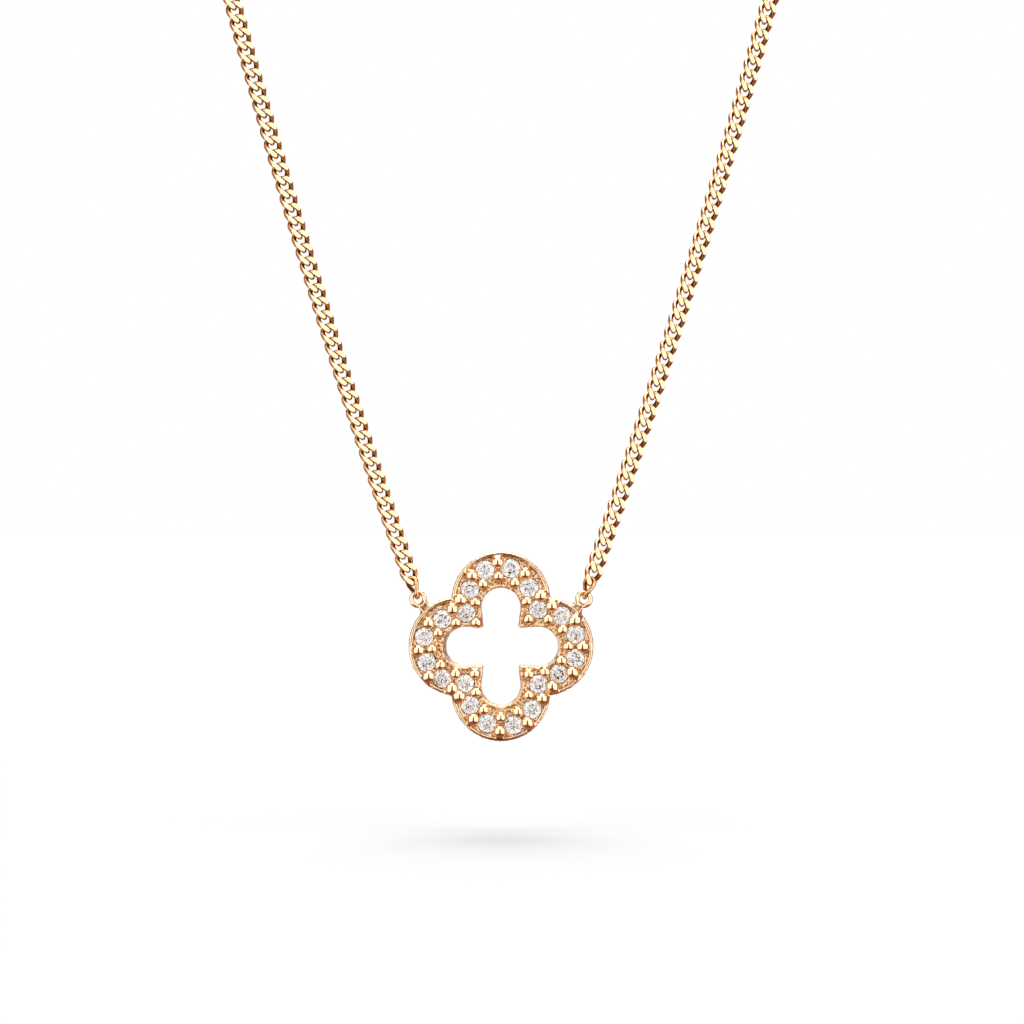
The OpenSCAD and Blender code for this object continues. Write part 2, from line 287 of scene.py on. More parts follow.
def closed_faces(around: int, sides: int) -> Faces:
    """List the faces of a closed tube.

    Args:
        around: rings along the tube, the last joined to the first.
        sides: points in each ring.

    Returns:
        Rows of four point numbers.
    """
    faces: Faces = []
    for i in range(around):
        n = (i + 1) % around
        for j in range(sides):
            k = (j + 1) % sides
            faces.append((i * sides + j, n * sides + j, n * sides + k, i * sides + k))
    return faces


class Desk:
    """A node tree with short calls to place nodes and join them."""

    def __init__(self, tree: bpy.types.NodeTree) -> None:
        """Keep the tree."""
        self.tree = tree

    def node(self, kind: str, values: dict[str, object] | None = None, **settings: object) -> bpy.types.Node:
        """Place a node.

        Args:
            kind: the node's type.
            values: numbers or colours for its inputs, by name or number, or sockets to join to them.
            **settings: the node's own properties.

        Returns:
            The node.
        """
        node = self.tree.nodes.new(kind)
        for name, value in settings.items():
            setattr(node, name, value)
        for name, value in (values or {}).items():
            socket = node.inputs[name]
            if isinstance(value, Socket):
                self.tree.links.new(value, socket)
            else:
                socket.default_value = value
        return node

    def math(self, operation: str, a: object, b: object = 0.0, c: object = 0.0) -> Socket:
        """Place a Math node on up to three values, and return its output."""
        return self.node("ShaderNodeMath", {0: a, 1: b, 2: c}, operation=operation).outputs[0]

    def ramp(self, value: Socket, band: Pair, ends: Pair = (0.0, 1.0)) -> Socket:
        """Place a smooth step between two ends, over a band of a value, and return its output."""
        values = dict(enumerate((value, *band, *ends)))
        return self.node("ShaderNodeMapRange", values, interpolation_type="SMOOTHSTEP").outputs[0]

    def noise(self, place: Socket, scale: object, detail: Pair) -> Socket:
        """Place a noise of some waves a metre, with finer layers and their strength, and return its value."""
        values = {"Vector": place, "Scale": scale, "Detail": detail[0], "Roughness": detail[1]}
        return self.node("ShaderNodeTexNoise", values).outputs["Fac"]

    def bump(self, height: Socket, distance: float) -> Socket:
        """Place a bump of a relief so many metres deep, and return its normal."""
        values = {"Height": height, "Strength": 1.0, "Distance": distance}
        return self.node("ShaderNodeBump", values).outputs[0]

    def blend(self, share: object, first: object, second: object) -> Socket:
        """Place a blend of two colours.

        Args:
            share: the second colour's share.
            first: the first colour, or a socket that gives it.
            second: the second colour, or a socket that gives it.

        Returns:
            Its colour output.
        """
        # A Mix node's colour sockets share their names with its number sockets, so they go by number
        colours = [(*c, 1.0) if isinstance(c, tuple) else c for c in (first, second)]
        values = {0: share, 6: colours[0], 7: colours[1]}
        return self.node("ShaderNodeMix", values, data_type="RGBA", clamp_factor=True).outputs[2]

    def join(self, a: Socket, b: Socket) -> None:
        """Join an output to an input."""
        self.tree.links.new(a, b)


def new_group(
    name: str, inputs: dict[str, float], outputs: list[str], directions: tuple[str, ...] = ()
) -> tuple[Desk, bpy.types.Node, bpy.types.Node]:
    """Start a shader node group.

    Args:
        name: the group's name.
        inputs: its number inputs with their first values.
        outputs: its number outputs.
        directions: its inputs that are vectors.

    Returns:
        A desk on the group, its input node and its output node.
    """
    tree = bpy.data.node_groups.new(name, "ShaderNodeTree")
    add = tree.interface.new_socket
    for label, value in inputs.items():
        add(name=label, in_out="INPUT", socket_type="NodeSocketFloat").default_value = value
    for label in outputs:
        add(name=label, in_out="OUTPUT", socket_type="NodeSocketFloat")
    for label in directions:
        add(name=label, in_out="INPUT", socket_type="NodeSocketVector")
    desk = Desk(tree)
    return desk, desk.node("NodeGroupInput"), desk.node("NodeGroupOutput")


def new_material(name: str) -> tuple[bpy.types.Material, Desk, bpy.types.Node]:
    """Start a material.

    Args:
        name: the material's name.

    Returns:
        The material, a desk on its nodes, and its shader.
    """
    material = bpy.data.materials.new(name)
    material.use_nodes = True
    return material, Desk(material.node_tree), material.node_tree.nodes["Principled BSDF"]


class GoldSkin:
    """The skin that every gold finish shares: fine grain, soft waves of tone and hairline marks."""

    scales: dict[str, float] = {"Grain Scale": 9000.0, "Wave Scale": 900.0, "Mark Scale": 2500.0}
    grain_detail: Pair = (4.0, 0.62)
    wave_detail: Pair = (2.0, 0.5)
    mark_detail: Pair = (3.0, 0.7)
    mark_stretch: tuple[float, float, float] = (1.0, 1.0, 7.0)

    def __init__(self) -> None:
        """Build the node group."""
        desk, inside, out = new_group("gold_skin", self.scales, ["Grain", "Wave", "Marks"])
        self.tree = desk.tree
        scale = inside.outputs
        place = desk.node("ShaderNodeTexCoord").outputs["Object"]
        desk.join(desk.noise(place, scale["Grain Scale"], self.grain_detail), out.inputs["Grain"])
        desk.join(desk.noise(place, scale["Wave Scale"], self.wave_detail), out.inputs["Wave"])
        drawn = desk.node("ShaderNodeVectorMath", {0: place, 1: self.mark_stretch}, operation="MULTIPLY")
        desk.join(desk.noise(drawn.outputs[0], scale["Mark Scale"], self.mark_detail), out.inputs["Marks"])

    def on(self, desk: Desk) -> list[Socket]:
        """Place the group in a material, and return its grain, wave and marks."""
        node = desk.node("ShaderNodeGroup", self.scales, node_tree=self.tree)
        return [node.outputs[label] for label in ("Grain", "Wave", "Marks")]


@dataclass(frozen=True)
class GoldFinish:
    """A rose gold finish: polished where the mesh says so, and grainy elsewhere; with two finishes it also
    takes a painted shade colour in recesses and a painted highlight colour on crests.
    """

    name: str
    colour: Colour = (0.95, 0.70, 0.46)
    deep: Colour = (0.90, 0.62, 0.37)
    # Painted shade: this colour darkens recesses, the inward faces of chain links and the clover's side walls
    hollow_shade: Colour = (0.42, 0.17, 0.055)
    # Painted highlight: this paler colour lightens crests
    crest_highlight: Colour = (0.98, 0.80, 0.60)
    polished: float = 0.14
    cast: float = 0.3
    grain_height: float = 0.00002
    grain_band: Pair = (0.35, 0.7)
    grain_tone: Pair = (0.9, 0.1)
    wave_tone: float = 0.25
    mark_part: float = 0.3
    mark_rough: float = 0.12
    polished_grain: float = 0.05
    # Bands of the bend attribute over which the painted shade and the painted highlight come in
    hollow_shade_band: Pair = (0.1, 0.9)
    crest_highlight_band: Pair = (-0.9, -0.2)
    two_finishes: bool = False

    def material(self, skin: GoldSkin) -> bpy.types.Material:
        """Build the material.

        Args:
            skin: the shared skin group.

        Returns:
            The material.
        """
        material, desk, shader = new_material(self.name)
        shader.inputs["Metallic"].default_value = 1.0
        grain, wave, marks = skin.on(desk)
        if self.two_finishes:
            polish = desk.node("ShaderNodeAttribute", attribute_name="polish").outputs["Fac"]
            rough_part = desk.math("SUBTRACT", 1.0, polish)
        else:
            rough_part = desk.math("MULTIPLY", marks, self.mark_part)
        grain_tone = desk.ramp(grain, self.grain_band, self.grain_tone)
        tone = desk.math("MULTIPLY_ADD", rough_part, grain_tone, desk.math("MULTIPLY", wave, self.wave_tone))
        # The deep colour follows random grain on the unpolished parts; on the chain it is dark enough to be
        # painted shade on the round wire beside the bright flats
        colour = desk.blend(tone, self.colour, self.deep)
        if self.two_finishes:
            bend = desk.node("ShaderNodeAttribute", attribute_name="bend").outputs["Fac"]
            # Painted shade: the bend attribute darkens recesses, link insides and side walls
            colour = desk.blend(desk.ramp(bend, self.hollow_shade_band), colour, self.hollow_shade)
            # Painted highlight: the bend attribute lightens crests
            colour = desk.blend(desk.ramp(bend, self.crest_highlight_band, (1.0, 0.0)), colour, self.crest_highlight)
        desk.join(colour, shader.inputs["Base Color"])
        rough = desk.math("MULTIPLY_ADD", rough_part, self.cast - self.polished, self.polished)
        rough = desk.math("MULTIPLY_ADD", desk.math("SUBTRACT", marks, 0.5), self.mark_rough, rough)
        desk.join(rough, shader.inputs["Roughness"])
        depth = desk.math("MULTIPLY_ADD", rough_part, 1 - self.polished_grain, self.polished_grain)
        height = desk.math("MULTIPLY", grain, depth)
        desk.join(desk.bump(height, self.grain_height), shader.inputs["Normal"])
        return material


@dataclass(frozen=True)
class StoneFinish:
    """A clear cut stone."""

    name: str = "clear_stone"
    tint: Colour = (1.0, 0.99, 0.975)
    cloudy: Colour = (0.95, 0.935, 0.915)
    bend: float = 2.2
    cloud_scale: float = 2600.0
    cloud_detail: Pair = (2.0, 0.5)
    cloud_band: Pair = (0.35, 0.75)
    haze_band: Pair = (0.4, 0.8)
    haze: float = 0.03
    speck_scale: float = 2000.0
    speck_detail: Pair = (1.0, 0.5)
    speck_height: float = 0.00007

    def material(self) -> bpy.types.Material:
        """Build the material.

        Returns:
            The material.
        """
        material, desk, shader = new_material(self.name)
        shader.inputs["Transmission Weight"].default_value = 1.0
        shader.inputs["IOR"].default_value = self.bend
        place = desk.node("ShaderNodeTexCoord").outputs["Object"]
        cloud = desk.noise(place, self.cloud_scale, self.cloud_detail)
        shade = desk.blend(desk.ramp(cloud, self.cloud_band), self.tint, self.cloudy)
        desk.join(shade, shader.inputs["Base Color"])
        desk.join(desk.ramp(cloud, self.haze_band, (0.0, self.haze)), shader.inputs["Roughness"])
        speck = desk.noise(place, self.speck_scale, self.speck_detail)
        desk.join(desk.bump(speck, self.speck_height), shader.inputs["Normal"])
        return material


@dataclass(frozen=True)
class FloorFinish:
    """The plain pale floor."""

    name: str = "pale_floor"
    colour: Colour = (0.508, 0.514, 0.517)
    roughness: float = 0.9

    def material(self) -> bpy.types.Material:
        """Build the material.

        Returns:
            The material.
        """
        material, _, shader = new_material(self.name)
        shader.inputs["Base Color"].default_value = (*self.colour, 1.0)
        shader.inputs["Roughness"].default_value = self.roughness
        shader.inputs["Specular IOR Level"].default_value = 0.0
        return material


@dataclass
class Route:
    """The right-hand strand's path in millimetres, in the clover's own frame; the left one mirrors it.

    It hangs from the ear, turns back over the shoulder, runs straight, and turns round the neck to the nape.
    """

    chain_len: float = 450.0
    ear_side: float = 4.46
    ear_up: float = 2.53
    ear_r: float = 0.35
    lean: float = 19.5
    slack: float = 40.0
    strand_half: float = 32.0
    shoulder_r: float = 25.0
    nape_rise: float = 25.0
    nape_half: float = 4.85

    def __post_init__(self) -> None:
        """Work out each stretch in turn from the sizes."""
        lean, rise = math.radians(self.lean), math.radians(self.nape_rise)
        # The chain pulls at the ear at hang_x and hang_z, and v is the slope of its hanging curve
        self.hang_x: float = self.ear_side + self.ear_r * math.sin(lean)
        self.hang_z: float = self.ear_up + self.ear_r * math.cos(lean)
        self.v_start: float = 1 / math.tan(lean)
        reach = (self.strand_half - self.hang_x) / self.slack
        self.v_end: float = math.sinh(math.asinh(self.v_start) + reach)
        self.hang_len: float = self.slack * (self.v_end - self.v_start)
        climb = math.sqrt(1 + self.v_end**2) - math.sqrt(1 + self.v_start**2)
        self.hang_end: np.ndarray = np.array([self.strand_half, 0.0, self.hang_z + self.slack * climb])
        # The turn over the shoulder leads from the way up to the way back
        self.up_dir: np.ndarray = unit(np.array([1.0, 0.0, self.v_end]))
        self.back_dir: np.ndarray = np.array([0.0, math.cos(rise), math.sin(rise)])
        self.shoulder_axis: np.ndarray = unit(np.cross(self.up_dir, self.back_dir))
        self.shoulder_turn: float = math.acos(float(self.up_dir @ self.back_dir))
        self.shoulder_len: float = self.shoulder_r * self.shoulder_turn
        self.shoulder_end: np.ndarray = self.on_shoulder(self.shoulder_len)[0]
        # The straight stretch takes what the turns leave of one side, from the ear to the nape's middle
        self.side_len: float = self.chain_len / 2 - self.hang_x
        self.neck_r: float = float(self.shoulder_end[0]) - self.nape_half
        self.straight_len: float = self.side_len - self.hang_len - self.shoulder_len
        self.straight_len = self.straight_len - self.neck_r * math.pi / 2 - self.nape_half
        self.straight_end: np.ndarray = self.shoulder_end + self.straight_len * self.back_dir
        # The nape is the shared frame's origin, and the chain turns about itself by face_turn before it
        inward = np.array([-self.neck_r - self.nape_half, 0.0, 0.0])
        self.nape: np.ndarray = self.straight_end + inward + self.neck_r * self.back_dir
        face = turned(FRONT, self.shoulder_axis, self.shoulder_turn)
        self.face_turn: float = math.atan2(
            float(np.cross(face, RIGHTWARDS) @ self.back_dir), float(face @ RIGHTWARDS)
        )

    def on_shoulder(self, s: float) -> ThreeRows:
        """Find a station on the turn over the shoulder.

        Args:
            s: the length from the turn's start.

        Returns:
            The point, the direction and the chain's face there.
        """
        a = s / self.shoulder_r
        inward = np.cross(self.shoulder_axis, self.up_dir)
        point = self.hang_end + self.shoulder_r * (math.sin(a) * self.up_dir + (1 - math.cos(a)) * inward)
        face = turned(FRONT, self.shoulder_axis, a)
        return point, turned(self.up_dir, self.shoulder_axis, a), face

    def right_at(self, s: float) -> ThreeRows:
        """Find a station on the right-hand strand.

        Args:
            s: the length from the ear.

        Returns:
            The point, the direction and the chain's face there.
        """
        if s <= self.hang_len:
            v = self.v_start + s / self.slack
            x = self.hang_x + self.slack * (math.asinh(v) - math.asinh(self.v_start))
            z = self.hang_z + self.slack * (math.sqrt(1 + v * v) - math.sqrt(1 + self.v_start**2))
            return np.array([x, 0.0, z]), unit(np.array([1.0, 0.0, v])), FRONT
        s -= self.hang_len
        if s <= self.shoulder_len:
            return self.on_shoulder(s)
        s -= self.shoulder_len
        if s <= self.straight_len:
            face = turned(FRONT, self.shoulder_axis, self.shoulder_turn)
            face = turned(face, self.back_dir, self.face_turn * eased(s / self.straight_len))
            return self.shoulder_end + s * self.back_dir, self.back_dir, face
        s -= self.straight_len
        if s <= self.neck_r * math.pi / 2:
            cos, sin = math.cos(s / self.neck_r), math.sin(s / self.neck_r)
            point = self.straight_end + self.neck_r * (sin * self.back_dir - (1 - cos) * RIGHTWARDS)
            return point, cos * self.back_dir - sin * RIGHTWARDS, cos * RIGHTWARDS + sin * self.back_dir
        s -= self.neck_r * math.pi / 2
        return self.nape + (self.nape_half - s) * RIGHTWARDS, -RIGHTWARDS, self.back_dir

    def at(self, s: float, side: Side, roll: float) -> np.ndarray:
        """Find the frame of a link on either strand.

        Args:
            s: the length from the ear to the link's middle.
            side: the strand.
            roll: how far the chain's face turns outwards, in radians.

        Returns:
            A 4 by 3 array: the width, depth and length directions, then the point from the nape.
        """
        point, along, face = self.right_at(s)
        face = turned(face, along, roll)
        flip = np.array([side.value, 1.0, 1.0])
        along, back = along * flip, -face * flip
        return np.stack([np.cross(back, along), back, along, (point - self.nape) * flip])


@dataclass(frozen=True)
class LinkMesh:
    """A link's mesh in its own place: what a chain copies to each of its stations."""

    points: np.ndarray
    faces: Faces
    creases: np.ndarray
    # Painted shade mask: one where the wire faces the link's hole
    inward: np.ndarray
    flats: list[bool]


@dataclass(frozen=True)
class LinkShape:
    """A curb link in millimetres: an oval of round wire, twisted end to end, with flat faces and edges."""

    length: float = 1.325
    width: float = 1.0
    wire: float = 0.275
    thickness: float = 0.50
    breadth: float = 0.90
    squareness: float = 2.3
    low_turn: float = 60.0
    high_turn: float = -60.0
    steps: int = 44
    sides: int = 16
    trace: int = 4001
    fine_steps: int = 16
    on_plane: float = 1e-6

    def centre_line(self) -> ThreeRows:
        """Work out the wire's middle line.

        Returns:
            Three arrays, one row a step: points, the wire's directions and the directions out of the link.
        """
        half = np.array([(self.width - self.wire) / 2, (self.length - self.wire) / 2])
        angle = np.linspace(0, 2 * math.pi, self.trace)
        ring = np.stack([np.cos(angle), np.sin(angle)], axis=1)
        ring = half * np.sign(ring) * np.abs(ring) ** (2 / self.squareness)
        run = np.concatenate([[0.0], np.cumsum(np.linalg.norm(np.diff(ring, axis=0), axis=1))])
        count = self.fine_steps * self.steps
        at = np.arange(count) * run[-1] / count
        x, z = np.interp(at, run, ring[:, 0]), np.interp(at, run, ring[:, 1])
        middle, spread = (self.low_turn + self.high_turn) / 2, (self.high_turn - self.low_turn) / 2
        turn = np.radians(middle + spread * z / half[1])
        line = np.stack([x * np.cos(turn), x * np.sin(turn), z], axis=1)
        ahead = np.roll(line, -1, axis=0) - np.roll(line, 1, axis=0)
        out = line / np.array([half[0], half[0], half[1]]) ** 2
        ahead, out = unit_rows(ahead), unit_rows(out)
        return line[:: self.fine_steps], ahead[:: self.fine_steps], out[:: self.fine_steps]

    @cached_property
    def mesh(self) -> LinkMesh:
        """Make the link's mesh with its flats.

        Returns:
            The mesh, in millimetres.
        """
        line, ahead, out = self.centre_line()
        up = unit_rows(-FRONT - ahead * ahead[:, 1:2])
        side = np.cross(ahead, up)
        angle = np.linspace(0, 2 * math.pi, self.sides, endpoint=False)[None, :, None]
        round_it = np.cos(angle) * up[:, None, :] + np.sin(angle) * side[:, None, :]
        tube = line[:, None, :] + self.wire / 2 * round_it
        body = bmesh.new()
        corners = [body.verts.new(point) for point in tube.reshape(-1, 3)]
        for face in closed_faces(self.steps, self.sides):
            body.faces.new([corners[i] for i in face])
        for half in ((0.0, self.thickness / 2, 0.0), (self.breadth / 2, 0.0, 0.0)):
            for sign in (-1.0, 1.0):
                place = sign * np.array(half)
                plane = {"plane_co": place, "plane_no": place, "dist": self.on_plane, "clear_outer": True}
                whole = body.verts[:] + body.edges[:] + body.faces[:]
                cut = bmesh.ops.bisect_plane(body, geom=whole, **plane)
                rim = [part for part in cut["geom_cut"] if isinstance(part, bmesh.types.BMEdge)]
                if rim:
                    bmesh.ops.holes_fill(body, edges=rim, sides=0)
        bmesh.ops.recalc_face_normals(body, faces=body.faces[:])
        body.verts.index_update()
        points = np.array([tuple(v.co) for v in body.verts])
        faces = [tuple(v.index for v in f.verts) for f in body.faces]
        edges = [edge for edge in body.edges if any(len(f.verts) > 4 for f in edge.link_faces)]
        creases = np.array([[v.index for v in edge.verts] for edge in edges]).reshape(-1, 2)
        body.free()
        near = np.argmin(np.linalg.norm(points[:, None, :] - line[None, :, :], axis=2), axis=1)
        # inward is one where the wire faces the link's hole, and the painted shade goes there
        inward = held(-np.einsum("ij,ij->i", unit_rows(points - line[near]), out[near]))
        return LinkMesh(points, faces, creases, inward, [len(face) > 4 for face in faces])


@dataclass
class CurbChain:
    """The fine curb chain: every link of both strands, hooked from the ears to the clasp."""

    route: Route
    finish: bpy.types.Material
    pitch: float = 0.753
    ear_hook: float = 0.255
    back_hook: dict[Side, float] = field(default_factory=lambda: {Side.LEFT: 3.42, Side.RIGHT: 2.89})
    front_links: int = 64
    roll: dict[Side, float] = field(default_factory=lambda: {Side.LEFT: -25.0, Side.RIGHT: 27.0})
    roll_until: float = 60.0
    roll_fade: float = 50.0
    fine: LinkShape = LinkShape()
    coarse: LinkShape = LinkShape(steps=24, sides=10)
    hook: LinkShape = LinkShape(
        length=1.34, width=0.90, wire=0.22, thickness=2.0, breadth=2.0, low_turn=75.0, high_turn=165.0
    )

    def stations(self, side: Side) -> list[float]:
        """Space the links along a strand.

        Args:
            side: the strand.

        Returns:
            The length from the ear to each link's middle.
        """
        first = (self.hook.length - self.hook.wire) / 2 - self.ear_hook
        last = self.route.side_len - self.back_hook[side] - (self.coarse.length - self.coarse.wire) / 2
        count = round((last - first) / self.pitch)
        return [first + (last - first) * i / count for i in range(count + 1)]

    def piece(self, name: str, side: Side, placed: list[tuple[float, LinkShape]]) -> bpy.types.Object:
        """Make one object of several links.

        Args:
            name: the object's name.
            side: the strand.
            placed: each link's station and shape.

        Returns:
            The object, in place.
        """
        shells, creases, polish, bend, base = [], [], [], [], 0
        for s, shape in placed:
            link = shape.mesh
            roll = 0.0 if shape is self.hook else self.roll[side] * self.rolled(s)
            bearing = self.route.at(s, side, math.radians(roll))
            shells.append(Shell(link.points @ bearing[:3] + bearing[3], link.faces))
            creases.append(link.creases + base)
            polish += [float(flat) for flat in link.flats]
            for face, flat in zip(link.faces, link.flats):
                # Painted shade: the round wire's faces towards each link's hole carry the bend that darkens
                # them
                bend += [0.0] * len(face) if flat else link.inward[list(face)].tolist()
            base += len(link.points)
        mesh = Shell.joined(shells).mesh(name)
        mark_creases(mesh, np.concatenate(creases))
        set_attribute(mesh, "polish", "FACE", polish)
        set_attribute(mesh, "bend", "CORNER", bend)
        mesh.materials.append(self.finish)
        return new_object(name, mesh)

    def rolled(self, s: float) -> float:
        """Return the share of the roll at a station: whole where it hangs, none at the nape."""
        return 1 - eased(min(1.0, max(0.0, (s - self.roll_until) / self.roll_fade)))

    def build(self) -> list[bpy.types.Object]:
        """Make the four pieces of chain.

        Returns:
            The pieces.
        """
        items = []
        for side in Side:
            label = side.name.lower()
            stations = self.stations(side)
            near = [(stations[0], self.hook)] + [(s, self.fine) for s in stations[1 : self.front_links]]
            far = [(s, self.coarse) for s in stations[self.front_links :]]
            front = self.piece(f"curb_front_{label}", side, near)
            back = self.piece(f"curb_back_{label}", side, far)
            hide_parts(f"end_link_{label}", f"chain_{label}")
            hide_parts(f"chain_{label}", f"back_link_{label}")
            items += [front, back]
        for item in items:
            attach(item, "necklace")
        return items


def mark_creases(mesh: bpy.types.Mesh, pairs: np.ndarray) -> None:
    """Mark edges as sharp, so that the flats keep crisp borders.

    Args:
        mesh: the mesh.
        pairs: the edges, as pairs of point numbers.
    """
    ends = np.empty(len(mesh.edges) * 2, np.int64)
    mesh.edges.foreach_get("vertices", ends)
    ends = np.sort(ends.reshape(-1, 2), axis=1)
    size = len(mesh.vertices)
    wanted = np.sort(pairs, axis=1)
    sharp = np.isin(ends[:, 0] * size + ends[:, 1], wanted[:, 0] * size + wanted[:, 1])
    layer = mesh.attributes.get("sharp_edge") or mesh.attributes.new("sharp_edge", "BOOLEAN", "EDGE")
    layer.data.foreach_set("value", sharp)


@dataclass(frozen=True)
class CloverPlan:
    """Where the clover's stones and beads sit, in millimetres about its centre."""

    leaf_side: float = 2.31
    leaf_tall: float = 2.44
    stone_arc: float = 1.78
    corner_reach: float = 2.77
    bead_off: float = 0.37
    bead_reach: float = 0.735
    bead_r: float = 0.36
    bead_in_r: float = 0.31
    lobe_r: float = 1.1
    lobes: Pair = (2.1, 2.03)
    cusp: Pair = (0.98, 1.04)
    arc_points: int = 90
    line_points: int = 12
    leaf_stones: tuple[tuple[Pair, ...], ...] = (
        ((-70, 1.00), (-27, 1.05), (17, 1.03), (65, 0.94)),
        ((-60, 1.07), (-21, 1.02), (21, 1.01), (62, 0.94)),
        ((-61, 1.07), (-21, 1.07), (24, 1.04), (67, 1.01)),
        ((-64, 1.07), (-27, 1.06), (16, 1.06), (60, 0.95)),
    )
    corner_stones: tuple[Pair, ...] = ((0, 1.02), (0, 1.03), (-1, 1.00), (-1, 0.94))

    @cached_property
    def stones(self) -> list[np.ndarray]:
        """Place the stones.

        Returns:
            Their middles, clockwise from the upper leaf.
        """
        leaves = [(0, self.leaf_tall), (self.leaf_side, 0), (0, -self.leaf_tall), (-self.leaf_side, 0)]
        places = []
        for i, centre in enumerate(leaves):
            for angle, share in self.leaf_stones[i]:
                places.append(np.array(centre) + self.bearing(QUARTER * i + angle, self.stone_arc * share))
            angle, share = self.corner_stones[i]
            places.append(self.bearing(QUARTER * (i + 0.5) + angle, self.corner_reach * share))
        return places

    @cached_property
    def beads(self) -> list[tuple[np.ndarray, float]]:
        """Place the beads.

        Returns:
            Their middles and radii: two at each gap between stones, and one at each cusp.
        """
        stones, places = self.stones, []
        for i, p in enumerate(stones):
            q = stones[(i + 1) % len(stones)]
            half = float(np.linalg.norm(q - p)) / 2
            off = max(self.bead_off, math.sqrt(max(0.0, self.bead_reach**2 - half**2)))
            side = np.array([-(q - p)[1], (q - p)[0]]) / (2 * half)
            places += [((p + q) / 2 + off * side, self.bead_r), ((p + q) / 2 - off * side, self.bead_in_r)]
        in_leaf = len(self.leaf_stones[0])
        for corner in stones[in_leaf :: in_leaf + 1]:
            places.append((corner - self.bead_reach * unit(corner), self.bead_in_r))
        return places

    def opening(self) -> tuple[np.ndarray, np.ndarray]:
        """Trace the cross-like opening.

        Returns:
            Points along its outline, and for each the direction into the opening.
        """
        points, inward, count = [], [], self.line_points
        for quarter in range(4):
            reach = self.lobes[quarter % 2]
            side, tall = self.cusp if quarter % 2 == 0 else self.cusp[::-1]
            gap = np.array([side, tall - reach])
            away = float(np.linalg.norm(gap))
            start = math.atan2(gap[1], gap[0]) + math.acos(self.lobe_r / away)
            arc = np.linspace(start, math.pi - start, self.arc_points)
            ring = np.stack([np.cos(arc), np.sin(arc)], axis=1)
            share = np.linspace(0.0, 1.0, count, endpoint=False)[:, None]
            line = gap + share * (self.lobe_r * ring[0] - gap)
            half = np.concatenate([line, self.lobe_r * ring, (line * [-1.0, 1.0])[::-1]]) + [0.0, reach]
            into = np.concatenate([np.repeat(-ring[:1], count, 0), -ring, np.repeat(-ring[-1:], count, 0)])
            turn = math.radians(QUARTER * quarter)
            spin = np.array([[math.cos(turn), -math.sin(turn)], [math.sin(turn), math.cos(turn)]])
            points.append(half @ spin)
            inward.append(into @ spin)
        return np.concatenate(points), np.concatenate(inward)

    @staticmethod
    def bearing(angle: float, reach: float) -> np.ndarray:
        """Return the point at a clockwise angle from straight up, in degrees, and a distance."""
        a = math.radians(angle)
        return np.array([reach * math.sin(a), reach * math.cos(a)])


